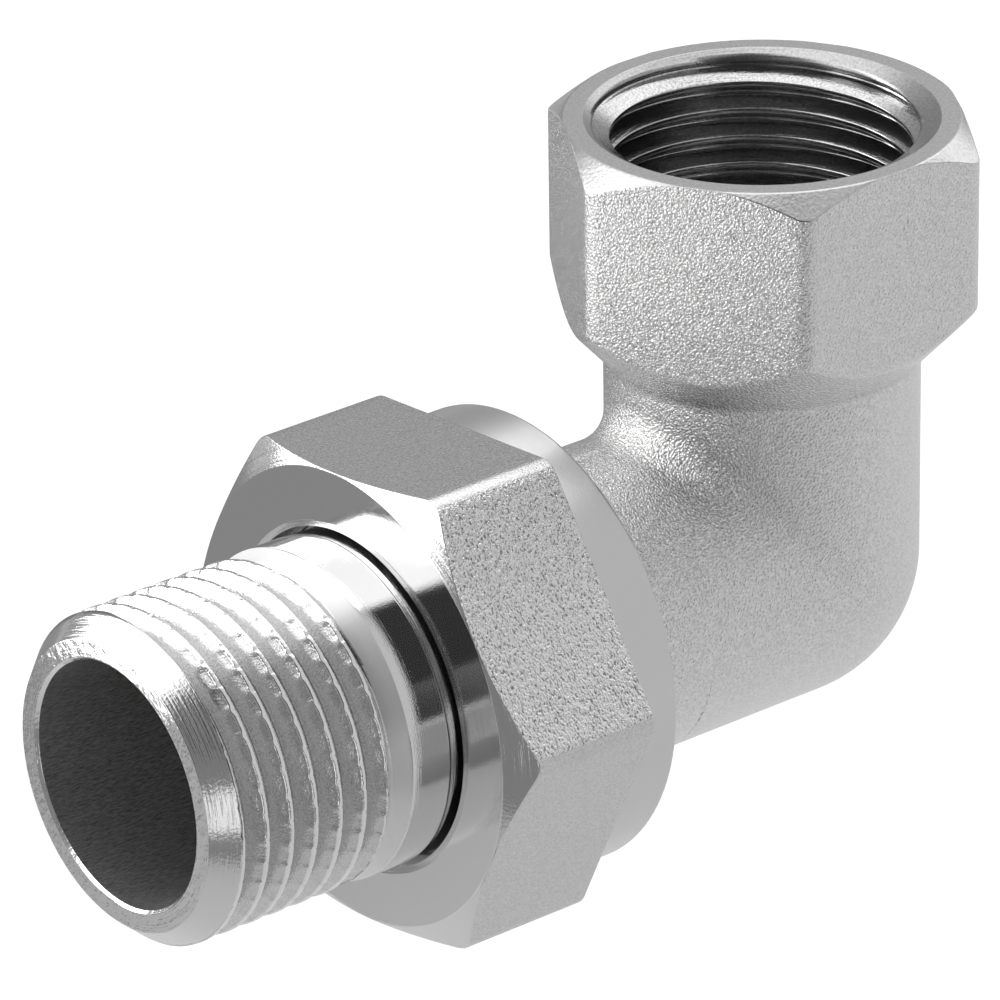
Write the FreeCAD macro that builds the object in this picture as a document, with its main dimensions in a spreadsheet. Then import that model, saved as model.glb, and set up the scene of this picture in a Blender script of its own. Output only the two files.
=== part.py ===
import FreeCAD, Part

import Sketcher

import math
import os
from types import SimpleNamespace

# Elbow union fitting, 1/2 inch: a forged elbow with a female pipe socket, and a male
# tailpiece that a hexagon union nut draws against a conical seat with a seal ring.
# Millimetres. The origin is on the socket's axis where its thread begins, +Z out of the
# socket and +X out of the tailpiece. Each piece is drawn from the elbow's centre, where
# the axes of its two legs meet, and then placed. Threads are plain cylinders: the open
# male thread stands at its crests, the female threads stand at theirs, and the spigot
# inside the nut stands at its root, clear of the nut.

DIMENSIONS = {
    "tube_radius": (9.84, "outside of the elbow's legs and of its round heel"),
    "waterway_radius": (7.6, "bore through the elbow"),
    "crotch_round": (2.2, "fillet along the crease between the two legs"),
    "neck_length": (1.36, "plain neck between that fillet and the socket's cone"),
    "leg_length": (7.26, "plain leg between that fillet and the spigot's cone"),
    "port_thread_crest": (9.316, "female thread at its crests"),
    "port_thread_length": (13.0, "length of the female thread"),
    "port_drill_depth": (1.0, "drill's cone between that thread and the waterway"),
    "port_mouth_flare": (1.634, "width of the chamfer in the socket's mouth"),
    "port_mouth_depth": (1.0, "depth of that chamfer"),
    "socket_wall": (2.864, "female thread's crests to the socket's flats"),
    "socket_corner_round": (1.35, "rounding of the socket's corners"),
    "socket_cone_length": (4.4, "cone from the neck up to the hexagon's corners"),
    "socket_neck_round": (1.5, "fillet between that cone and the neck"),
    "socket_hex_length": (9.8, "length of the hexagon at its corners"),
    "socket_face_ring": (1.27, "flat ring between the mouth and the face's chamfer"),
    "socket_face_drop": (1.3, "fall of the face's chamfer at the hexagon's corners"),
    "spigot_flare": (1.4, "length of the cone from the leg out to the spigot"),
    "spigot_length": (7.2, "length of the spigot"),
    "spigot_chamfer": (0.6, "chamfer at the spigot's end"),
    "spigot_rim": (0.9785, "spigot's end face, from the seat to the thread's root"),
    "seat_half_angle": (30.0, "half angle of the conical seat, in degrees"),
    "nut_wall": (2.5415, "union thread's crests to the nut's flats"),
    "nut_corner_round": (1.6, "rounding of the nut's corners"),
    "nut_hex_length": (10.05, "length of the nut's hexagon"),
    "nut_skirt_length": (3.5, "length of the round skirt behind the hexagon"),
    "nut_skirt_step": (0.04, "flats to the outside of the skirt"),
    "nut_face_step": (0.05, "flats to the outer edge of the nut's turned face"),
    "nut_face_drop": (1.15, "fall of the face's chamfer at the nut's corners"),
    "nut_lip_length": (2.6, "lip that draws the tailpiece in"),
    "nut_hole_chamfer": (0.4, "chamfer round the hole in the nut's face"),
    "nut_mouth_chamfer": (0.6, "chamfer at the nut's rear mouth"),
    "nut_turned": (4.4, "turn of the nut from square at rest, in degrees"),
    "tail_thread_crest": (10.42, "male thread at its crests"),
    "tail_thread_length": (13.0, "length of the male thread and its lead chamfer"),
    "tail_lead_drop": (1.32, "fall of the lead chamfer at the end face"),
    "tail_lead_length": (1.5, "length of the lead chamfer"),
    "tail_wall": (2.67, "male thread's crests to the tailpiece's bore"),
    "tail_bore_chamfer": (0.2, "chamfer at the outer end of that bore"),
    "tail_relief_drop": (0.67, "thread's crests to the foot of the cone before the collar"),
    "tail_relief_length": (1.2, "length of that cone"),
    "tail_collar_rise": (0.07, "thread's crests to the smooth collar"),
    "tail_collar_length": (2.75, "length of that collar"),
    "tail_collar_edge": (0.06, "rounding at the rear of the collar"),
    "tail_collar_gap": (0.75, "rear of the collar to the nut's face"),
    "tail_neck_drop": (0.09, "collar to the neck inside the hole in the nut"),
    "tail_flange_length": (2.2, "flange behind the nut's lip"),
    "tail_nose_length": (3.05, "conical nose behind the flange"),
    "seal_floor_wall": (0.75, "tailpiece's bore to the floor of the seal's groove"),
    "seal_section": (0.8, "radius of the seal ring's section"),
    "seal_setback": (1.2, "spigot's end face to the middle of the seal ring"),
    "hole_clearance": (0.27, "collar to the hole in the nut"),
    "thread_clearance": (0.08, "spigot to the nut's thread"),
    "flange_clearance": (0.46, "flange to the nut's thread"),
    "lip_clearance": (0.15, "flange to the nut's lip"),
    "seat_clearance": (0.15, "flange and nose to the spigot and its seat"),
    "seal_clearance": (0.04, "seal ring to its groove and the seat"),
}

FLATS_TO_CORNER = 1.0 / math.cos(math.pi / 6.0)
CORNER_LOST = FLATS_TO_CORNER - 1.0
OVERSIZE = 2.0
NEAR = 0.01

document = FreeCAD.newDocument("ElbowUnion")
sheet = document.addObject("Spreadsheet::Sheet", "Sizes")


class Size:
    """A number together with the formula that gives it from the sheet."""

    def __init__(self, number, formula):
        self.number = number
        self.formula = formula

    def __add__(self, other):
        other = as_size(other)
        return Size(self.number + other.number, "(%s + %s)" % (self.formula, other.formula))

    def __sub__(self, other):
        other = as_size(other)
        return Size(self.number - other.number, "(%s - %s)" % (self.formula, other.formula))

    def __mul__(self, other):
        other = as_size(other)
        return Size(self.number * other.number, "(%s * %s)" % (self.formula, other.formula))

    def __truediv__(self, other):
        other = as_size(other)
        return Size(self.number / other.number, "(%s / %s)" % (self.formula, other.formula))

    def __neg__(self):
        return Size(-self.number, "(0 - %s)" % self.formula)


def as_size(value):
    """Take a plain number or a Size and return a Size."""
    if isinstance(value, Size):
        return value
    return Size(float(value), "%.9f" % value)


def tangent(angle):
    """Tangent of an angle kept in degrees."""
    return Size(math.tan(math.radians(angle.number)), "tan(%s)" % angle.formula)


def cosine(angle):
    """Cosine of an angle kept in degrees."""
    return Size(math.cos(math.radians(angle.number)), "cos(%s)" % angle.formula)


def read_sheet():
    """Fill the sheet and return every size under its own name."""
    named = SimpleNamespace()
    for row, (word, (number, meaning)) in enumerate(DIMENSIONS.items(), start=1):
        sheet.set("A%d" % row, word)
        sheet.set("B%d" % row, str(number))
        sheet.set("C%d" % row, meaning)
        sheet.setAlias("B%d" % row, word)
        setattr(named, word, Size(float(number), "Sizes.%s" % word))
    document.recompute()
    return named


def new_body(label, height):
    """Start a piece whose drawing origin is the elbow's centre, and place it."""
    body = document.addObject("PartDesign::Body", label)
    body.Label = label
    body.setExpression("Placement.Base.z", (-height).formula)
    return body


def new_sketch(body, name, role, offset=None):
    """Start a sketch on one of a body's origin planes, set off along its normal."""
    plane = [feature for feature in body.Origin.OriginFeatures if feature.Role == role][0]
    sketch = body.newObject("Sketcher::SketchObject", name)
    sketch.AttachmentSupport = [(plane, "")]
    sketch.MapMode = "FlatFace"
    if offset is not None:
        sketch.setExpression("AttachmentOffset.Base.z", offset.formula)
    return sketch


def pin_point(sketch, geometry, end, place):
    """Hold one point of a curve at its place, measured from the sketch's origin."""
    for kind, axis, value in (("DistanceX", -2, place[0]), ("DistanceY", -1, place[1])):
        if abs(value.number) < 1e-9:
            sketch.addConstraint(Sketcher.Constraint("PointOnObject", geometry, end, axis))
            continue
        ends = (-1, 1, geometry, end)
        if value.number < 0.0:
            ends = (geometry, end, -1, 1)
            value = -value
        index = sketch.addConstraint(Sketcher.Constraint(kind, *ends, value.number))
        sketch.setExpression("Constraints[%d]" % index, value.formula)


def set_radius(sketch, geometry, radius):
    """Give a circle or an arc its radius."""
    index = sketch.addConstraint(Sketcher.Constraint("Radius", geometry, radius.number))
    sketch.setExpression("Constraints[%d]" % index, radius.formula)


def at_place(place):
    """Turn a pair of sizes into a vector in the sketch."""
    return FreeCAD.Vector(place[0].number, place[1].number, 0.0)


def draw_outline(sketch, places):
    """Draw a closed outline of straight lines through the given places."""
    places = [(as_size(across), as_size(along)) for across, along in places]
    for start, end in zip(places, places[1:] + places[:1]):
        sketch.addGeometry(Part.LineSegment(at_place(start), at_place(end)), False)
    for line in range(len(places)):
        following = (line + 1) % len(places)
        sketch.addConstraint(Sketcher.Constraint("Coincident", line, 2, following, 1))
    for line, place in enumerate(places):
        pin_point(sketch, line, 1, place)


def draw_hexagon(sketch, flats, corner_round):
    """Draw a hexagon with round corners, one of them on the sketch's first axis."""
    centre = (flats * 0.5 - corner_round) * FLATS_TO_CORNER
    ends = []
    for step in range(6):
        heading = 60.0 * step
        for turned in (heading - 30.0, heading + 30.0):
            across = centre * part_along(heading) + corner_round * part_along(turned)
            along = centre * part_across(heading) + corner_round * part_across(turned)
            ends.append((across, along))
    for step in range(6):
        start = ends[2 * step + 1]
        end = ends[(2 * step + 2) % 12]
        line = sketch.addGeometry(Part.LineSegment(at_place(start), at_place(end)), False)
        pin_point(sketch, line, 1, start)
        pin_point(sketch, line, 2, end)
    for step in range(6):
        heading = math.radians(60.0 * step)
        middle = FreeCAD.Vector(math.cos(heading), math.sin(heading), 0.0) * centre.number
        circle = Part.Circle(middle, FreeCAD.Vector(0.0, 0.0, 1.0), corner_round.number)
        spread = math.radians(30.0)
        arc = sketch.addGeometry(Part.ArcOfCircle(circle, heading - spread, heading + spread), False)
        sketch.addConstraint(Sketcher.Constraint("Coincident", arc, 1, (step - 1) % 6, 2))
        sketch.addConstraint(Sketcher.Constraint("Coincident", arc, 2, step, 1))
        set_radius(sketch, arc, corner_round)


def part_along(heading):
    """Share of a length that lies along the first axis, for a heading in degrees."""
    return round(math.cos(math.radians(heading)), 12)


def part_across(heading):
    """Share of a length that lies along the second axis, for a heading in degrees."""
    return round(math.sin(math.radians(heading)), 12)


def draw_circle(sketch, radius, across=0.0, along=0.0):
    """Draw a circle round a place in the sketch."""
    place = (as_size(across), as_size(along))
    circle = Part.Circle(at_place(place), FreeCAD.Vector(0.0, 0.0, 1.0), radius.number)
    ring = sketch.addGeometry(circle, False)
    pin_point(sketch, ring, 3, place)
    set_radius(sketch, ring, radius)


def settle(body, feature, adds):
    """Recompute, and stop if a feature failed or changed nothing."""
    before = 0.0
    if feature.BaseFeature is not None:
        before = feature.BaseFeature.Shape.Volume
    document.recompute()
    if not feature.isValid() or feature.Shape.isNull():
        raise RuntimeError("%s failed in %s" % (feature.Label, body.Label))
    change = feature.Shape.Volume - before
    if (adds and change <= 0.0) or (not adds and change >= 0.0):
        raise RuntimeError("%s changed nothing in %s" % (feature.Label, body.Label))


def turn(body, name, sketch, axis, adds=True):
    """Revolve a sketch about one of its axes, as a solid or as a cut."""
    kind = "PartDesign::Groove"
    if adds:
        kind = "PartDesign::Revolution"
    feature = body.newObject(kind, name)
    feature.Profile = sketch
    feature.ReferenceAxis = (sketch, [axis])
    feature.Angle = 360.0
    settle(body, feature, adds)
    return feature


def turn_outline(body, name, places, axis, adds=True):
    """Revolve a closed outline drawn in the plane of the two axes."""
    sketch = new_sketch(body, name + "_outline", "XZ_Plane")
    draw_outline(sketch, places)
    return turn(body, name, sketch, axis, adds)


def mill_hexagon(body, name, role, start, length, flats, corner_round):
    """Mill six flats and the round corners between them on a turned blank."""
    sketch = new_sketch(body, name + "_outline", role, start)
    draw_hexagon(sketch, flats, corner_round)
    draw_circle(sketch, flats * 0.5 * FLATS_TO_CORNER + OVERSIZE * 2.0)
    milled = body.newObject("PartDesign::Pocket", name)
    milled.Profile = sketch
    milled.Type = "Length"
    milled.Reversed = True
    milled.setExpression("Length", length.formula)
    settle(body, milled, False)


def pick_edges(shape, test):
    """Name the edges whose middle passes a test."""
    chosen = []
    for index, edge in enumerate(shape.Edges, start=1):
        if edge.Length < NEAR:
            continue
        middle = edge.valueAt(0.5 * (edge.FirstParameter + edge.LastParameter))
        if test(middle):
            chosen.append("Edge%d" % index)
    return chosen


def round_edges(body, name, edges, radius):
    """Round some edges of a body's last feature."""
    if not edges:
        raise RuntimeError("%s found no edge in %s" % (name, body.Label))
    base = body.Tip
    feature = body.newObject("PartDesign::Fillet", name)
    feature.Base = (base, edges)
    feature.setExpression("Radius", radius.formula)
    document.recompute()
    if not feature.isValid() or feature.Shape.isNull():
        raise RuntimeError("%s failed in %s" % (name, body.Label))
    return feature


def distance_from_x(point):
    """Distance of a point from the X axis."""
    return math.hypot(point.y, point.z)


def distance_from_z(point):
    """Distance of a point from the Z axis."""
    return math.hypot(point.x, point.y)


def make_elbow(s):
    """Forge, mill, turn and bore the elbow."""
    body = new_body("elbow_body", s.port_thread_start)
    corner = s.socket_flats * 0.5 * FLATS_TO_CORNER
    rounded = corner - s.socket_corner_round * CORNER_LOST
    blank = corner + OVERSIZE
    face_slope = s.socket_face_drop / (rounded - s.socket_face_radius)
    cone_slope = (s.socket_hex_foot - s.socket_cone_foot) / (rounded - s.tube_radius)
    turn_outline(body, "socket_and_neck", [
        (0.0, 0.0),
        (s.tube_radius, 0.0),
        (s.tube_radius, s.socket_cone_foot),
        (blank, s.socket_cone_foot + (blank - s.tube_radius) * cone_slope),
        (blank, s.socket_height - (blank - s.socket_face_radius) * face_slope),
        (s.socket_face_radius, s.socket_height),
        (0.0, s.socket_height),
    ], "V_Axis")
    mill_hexagon(body, "socket_flats_milled", "XY_Plane", s.socket_cone_foot,
                 s.socket_height - s.socket_cone_foot, s.socket_flats, s.socket_corner_round)

    turn_outline(body, "leg_and_spigot", [
        (0.0, 0.0),
        (s.spigot_end, 0.0),
        (s.spigot_end, s.spigot_radius - s.spigot_chamfer),
        (s.spigot_end - s.spigot_chamfer, s.spigot_radius),
        (s.spigot_start, s.spigot_radius),
        (s.spigot_start - s.spigot_flare, s.tube_radius),
        (0.0, s.tube_radius),
    ], "H_Axis")
    heel = body.newObject("PartDesign::AdditiveSphere", "heel")
    heel.setExpression("Radius", s.tube_radius.formula)
    settle(body, heel, True)

    def in_crease(middle):
        return abs(middle.x - middle.z) < NEAR and middle.x > 1.0

    def at_neck(middle):
        round_neck = abs(distance_from_z(middle) - s.tube_radius.number) < NEAR
        return round_neck and abs(middle.z - s.socket_cone_foot.number) < NEAR

    round_edges(body, "crease_rounded", pick_edges(body.Tip.Shape, in_crease), s.crotch_round)
    round_edges(body, "neck_rounded", pick_edges(body.Tip.Shape, at_neck), s.socket_neck_round)

    thread_end = s.port_thread_start - s.port_thread_length
    turn_outline(body, "socket_bored", [
        (0.0, 0.0),
        (s.waterway_radius, 0.0),
        (s.waterway_radius, thread_end - s.port_drill_depth),
        (s.port_thread_crest, thread_end),
        (s.port_thread_crest, s.port_thread_start),
        (s.port_mouth_radius, s.socket_height),
        (0.0, s.socket_height),
    ], "V_Axis", adds=False)
    seat_length = (s.seat_mouth_radius - s.waterway_radius) / tangent(s.seat_half_angle)
    turn_outline(body, "seat_bored", [
        (0.0, 0.0),
        (s.spigot_end, 0.0),
        (s.spigot_end, s.seat_mouth_radius),
        (s.spigot_end - seat_length, s.waterway_radius),
        (0.0, s.waterway_radius),
    ], "H_Axis", adds=False)
    corner_ball = body.newObject("PartDesign::SubtractiveSphere", "waterway_corner")
    corner_ball.setExpression("Radius", s.waterway_radius.formula)
    settle(body, corner_ball, False)
    return body


def make_nut(s):
    """Turn the union nut and mill its hexagon."""
    body = new_body("union_nut", s.port_thread_start)
    body.Placement.Rotation = FreeCAD.Rotation(FreeCAD.Vector(1.0, 0.0, 0.0), s.nut_turned.number)
    body.setExpression("Placement.Rotation.Angle", s.nut_turned.formula)
    corner = s.nut_flats * 0.5 * FLATS_TO_CORNER
    rounded = corner - s.nut_corner_round * CORNER_LOST
    blank = corner + OVERSIZE
    skirt_radius = s.nut_flats * 0.5 - s.nut_skirt_step
    face_radius = s.nut_flats * 0.5 - s.nut_face_step
    face_slope = s.nut_face_drop / (rounded - face_radius)
    hole = s.tail_collar_radius + s.hole_clearance
    hex_start = s.nut_face - s.nut_hex_length
    rear = hex_start - s.nut_skirt_length
    lip_start = s.nut_face - s.nut_lip_length
    turn_outline(body, "nut_turned_blank", [
        (rear, s.union_thread_crest + s.nut_mouth_chamfer),
        (rear, skirt_radius),
        (hex_start, skirt_radius),
        (hex_start, blank),
        (s.nut_face - (blank - face_radius) * face_slope, blank),
        (s.nut_face, face_radius),
        (s.nut_face, hole + s.nut_hole_chamfer),
        (s.nut_face - s.nut_hole_chamfer, hole),
        (lip_start, hole),
        (lip_start, s.union_thread_crest),
        (rear + s.nut_mouth_chamfer, s.union_thread_crest),
    ], "H_Axis")
    mill_hexagon(body, "nut_flats_milled", "YZ_Plane", hex_start, s.nut_hex_length,
                 s.nut_flats, s.nut_corner_round)
    return body


def make_tailpiece(s):
    """Turn the tailpiece with its nose, flange, collar and male thread."""
    body = new_body("tailpiece", s.port_thread_start)
    flange_start = s.spigot_end + s.seat_clearance
    flange_end = flange_start + s.tail_flange_length
    flange_radius = s.union_thread_crest - s.flange_clearance
    neck_radius = s.tail_collar_radius - s.tail_neck_drop
    nose_tip = flange_start - s.tail_nose_length
    collar_start = s.nut_face + s.tail_collar_gap
    collar_end = collar_start + s.tail_collar_length
    thread_start = collar_end + s.tail_relief_length
    tail_end = thread_start + s.tail_thread_length
    groove_half = s.seal_section + s.seal_clearance
    groove_middle = s.spigot_end - s.seal_setback
    groove_front = groove_middle - groove_half
    groove_rear = groove_middle + groove_half

    def nose_radius(along):
        seat = s.seat_mouth_radius - (s.spigot_end - along) * tangent(s.seat_half_angle)
        return seat - s.seat_clearance / cosine(s.seat_half_angle)

    turn_outline(body, "tail_turned", [
        (nose_tip, s.tail_bore),
        (nose_tip, nose_radius(nose_tip)),
        (groove_front, nose_radius(groove_front)),
        (groove_front, s.groove_floor),
        (groove_rear, s.groove_floor),
        (groove_rear, nose_radius(groove_rear)),
        (flange_start, nose_radius(flange_start)),
        (flange_start, flange_radius),
        (flange_end, flange_radius),
        (flange_end, neck_radius),
        (collar_start, neck_radius),
        (collar_start, s.tail_collar_radius),
        (collar_end, s.tail_collar_radius),
        (thread_start, s.tail_thread_crest - s.tail_relief_drop),
        (thread_start, s.tail_thread_crest),
        (tail_end - s.tail_lead_length, s.tail_thread_crest),
        (tail_end, s.tail_thread_crest - s.tail_lead_drop),
        (tail_end, s.tail_bore + s.tail_bore_chamfer),
        (tail_end - s.tail_bore_chamfer, s.tail_bore),
    ], "H_Axis")

    def at_collar(middle):
        on_edge = abs(distance_from_x(middle) - s.tail_collar_radius.number) < NEAR
        return on_edge and abs(middle.x - collar_start.number) < NEAR

    round_edges(body, "collar_rounded", pick_edges(body.Tip.Shape, at_collar), s.tail_collar_edge)
    return body


def make_seal(s):
    """Turn the seal ring, which sits in the nose's groove."""
    body = new_body("o_ring_seal", s.port_thread_start)
    sketch = new_sketch(body, "seal_outline", "XZ_Plane")
    draw_circle(sketch, s.seal_section, s.spigot_end - s.seal_setback, s.seal_ring_radius)
    turn(body, "seal_ring", sketch, "H_Axis")
    return body


def derive(s):
    """Work out what follows from the named sizes, from the elbow's centre outwards."""
    s.socket_cone_foot = s.tube_radius + s.crotch_round + s.neck_length
    s.socket_hex_foot = s.socket_cone_foot + s.socket_cone_length
    s.socket_height = s.socket_hex_foot + s.socket_hex_length + s.socket_face_drop
    s.socket_flats = (s.port_thread_crest + s.socket_wall) * 2.0
    s.port_mouth_radius = s.port_thread_crest + s.port_mouth_flare
    s.socket_face_radius = s.port_mouth_radius + s.socket_face_ring
    s.port_thread_start = s.socket_height - s.port_mouth_depth

    s.tail_bore = s.tail_thread_crest - s.tail_wall
    s.tail_collar_radius = s.tail_thread_crest + s.tail_collar_rise
    s.groove_floor = s.tail_bore + s.seal_floor_wall
    s.seal_ring_radius = s.groove_floor + s.seal_clearance + s.seal_section
    seat_at_seal = s.seal_ring_radius + (s.seal_section + s.seal_clearance) / cosine(s.seat_half_angle)
    s.seat_mouth_radius = seat_at_seal + s.seal_setback * tangent(s.seat_half_angle)

    s.spigot_radius = s.seat_mouth_radius + s.spigot_rim
    s.union_thread_crest = s.spigot_radius + s.thread_clearance
    s.nut_flats = (s.union_thread_crest + s.nut_wall) * 2.0
    s.spigot_start = s.tube_radius + s.crotch_round + s.leg_length + s.spigot_flare
    s.spigot_end = s.spigot_start + s.spigot_length
    s.nut_face = (s.spigot_end + s.seat_clearance + s.tail_flange_length
                  + s.lip_clearance + s.nut_lip_length)


def main():
    """Build every piece, check it and write it out."""
    s = read_sheet()
    derive(s)
    bodies = [make_elbow(s), make_nut(s), make_tailpiece(s), make_seal(s)]
    document.recompute()
    for item in document.Objects:
        if "Invalid" in item.State or "Error" in item.State:
            raise RuntimeError("%s could not be computed" % item.Label)
    os.makedirs("parts", exist_ok=True)
    for body in bodies:
        if body.Shape.isNull() or not body.Shape.isValid() or len(body.Shape.Solids) != 1:
            raise RuntimeError("%s is not one sound solid" % body.Label)
        body.Shape.exportStep("parts/%s.step" % body.Label)
        print(body.Label, round(body.Shape.Volume, 2), body.Shape.BoundBox)


main()
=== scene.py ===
import logging
import math
from dataclasses import dataclass, field
from enum import Enum
from typing import Callable, Sequence

import bpy
import numpy as np
from mathutils import Matrix, Vector


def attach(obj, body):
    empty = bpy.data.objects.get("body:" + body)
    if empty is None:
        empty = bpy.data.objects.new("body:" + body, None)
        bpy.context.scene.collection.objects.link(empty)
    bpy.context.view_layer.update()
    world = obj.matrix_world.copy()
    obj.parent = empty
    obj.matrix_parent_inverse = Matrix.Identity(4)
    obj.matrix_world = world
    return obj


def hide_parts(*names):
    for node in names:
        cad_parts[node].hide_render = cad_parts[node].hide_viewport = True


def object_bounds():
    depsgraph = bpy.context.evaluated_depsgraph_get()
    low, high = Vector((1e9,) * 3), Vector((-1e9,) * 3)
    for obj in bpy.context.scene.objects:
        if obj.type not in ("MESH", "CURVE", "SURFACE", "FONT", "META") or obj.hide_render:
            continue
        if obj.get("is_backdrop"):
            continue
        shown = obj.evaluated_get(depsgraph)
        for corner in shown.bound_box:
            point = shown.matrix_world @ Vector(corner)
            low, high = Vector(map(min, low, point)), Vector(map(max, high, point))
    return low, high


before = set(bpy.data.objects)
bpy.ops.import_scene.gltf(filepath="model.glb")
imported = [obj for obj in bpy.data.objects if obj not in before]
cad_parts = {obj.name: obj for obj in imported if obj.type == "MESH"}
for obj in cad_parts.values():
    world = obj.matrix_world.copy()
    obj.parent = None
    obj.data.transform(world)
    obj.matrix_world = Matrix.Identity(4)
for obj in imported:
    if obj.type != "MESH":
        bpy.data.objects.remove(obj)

LOG = logging.getLogger("elbow_union")

MM = 0.001  # metres in a millimetre
CENTRE_BELOW_PORT = 27.9  # millimetres from the frame's origin down to the elbow's centre
FULL_TURN = 2.0 * math.pi
TINY = 1e-9
ALMOST_ONE = 0.999999
SLIVER = 1e-13  # square metres: a face with less is left out

PITCH = 1.814286  # millimetres a turn, which is 14 threads per inch
THREAD_DEPTH = 1.162
CREST_WIDTH = 0.34
TAN_FLANK = math.tan(math.radians(27.5))
CREST_EDGE = ((0.0, 0.06), (0.03, 0.012), (0.08, 0.0))  # places in from the crest's edge, depths below it
FLANK_DOWN = (0.14, 0.30, 0.6, 0.93)  # shares of the flank's width at which its rows lie
FLANK_UP = (0.93, 0.5, 0.07)
ROOT_ROUND = 0.03

SUPPORT = 0.03  # width of the rows that keep the faces beside a round flat
SUPPORT_SHARE = 0.2  # most that such a row takes of the edge it lies on
ROUND_SHARE = 0.4  # most that a round takes of the edges it joins
ROUND_STEPS = 4
FILL_SHARE = 0.96  # share of an edge that its added rows spread over
EVEN_SHARE = 0.55  # how even the columns of a flat are: the rest draws them to its corners
HALVINGS = 34  # steps that find where a line leaves the elbow's skin
LINE_REACH = 2.4  # radii from the legs' plane that are past the skin on every heading
TOUCH = 1e-6  # millimetres within which a thread has met its limit

# The grain's lighter tips are painted glints and its darker pits are painted shade.
TIP_SHARE = 0.6  # how much lighter the grain's tips are for how much darker its pits are
LIGHTEST = 0.95
RING_PACE = 2.5  # how far a tool's rings change in one radian, in their own widths
ARC_STEPS = 16
PICTURE = 1000.0  # width of the photograph in pixels

Array = np.ndarray
Around = Callable[[Array, Array], Array]
Radius = Callable[[Array], Array]
Socket = bpy.types.NodeSocket
Inputs = dict[str | int, Socket | float | tuple[float, ...]]


def grey(level: float) -> tuple[float, float, float, float]:
    """Give a grey as a colour."""
    return level, level, level, 1.0


class Graph:
    """The nodes of a material or of the world, and their links."""

    def __init__(self, owner: bpy.types.Material | bpy.types.World, output: str = "OutputMaterial") -> None:
        """Start with nothing but the output.

        Args:
            owner: material or world that the nodes belong to.
            output: type of its output node, without the word ShaderNode.
        """
        owner.use_nodes = True
        self.tree = owner.node_tree
        self.tree.nodes.clear()
        self.output = self.add(output, {})

    def add(self, kind: str, inputs: Inputs, **settings: str) -> bpy.types.Node:
        """Add a node.

        Args:
            kind: the node's type without the word ShaderNode.
            inputs: a socket to link from, or a value, by the input's name or number.
            settings: what the node does, such as its operation.

        Returns:
            The node.
        """
        node = self.tree.nodes.new("ShaderNode" + kind)
        for name, value in settings.items():
            setattr(node, name, value)
        for name, value in inputs.items():
            if isinstance(value, Socket):
                self.tree.links.new(value, node.inputs[name])
            else:
                node.inputs[name].default_value = value
        return node

    def show(self, shader: Socket, seen: Socket | None = None) -> None:
        """Show a shader.

        Args:
            shader: the shader.
            seen: shader that the camera sees in its place, if it sees another.
        """
        if seen is not None:
            camera = self.add("LightPath", {}).outputs["Is Camera Ray"]
            shader = self.add("MixShader", {"Fac": camera, 1: shader, 2: seen}).outputs["Shader"]
        self.tree.links.new(shader, self.output.inputs["Surface"])


class Axis(Enum):
    """The axis that a surface was turned about."""

    TAIL = "X"
    SOCKET = "Z"


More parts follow.
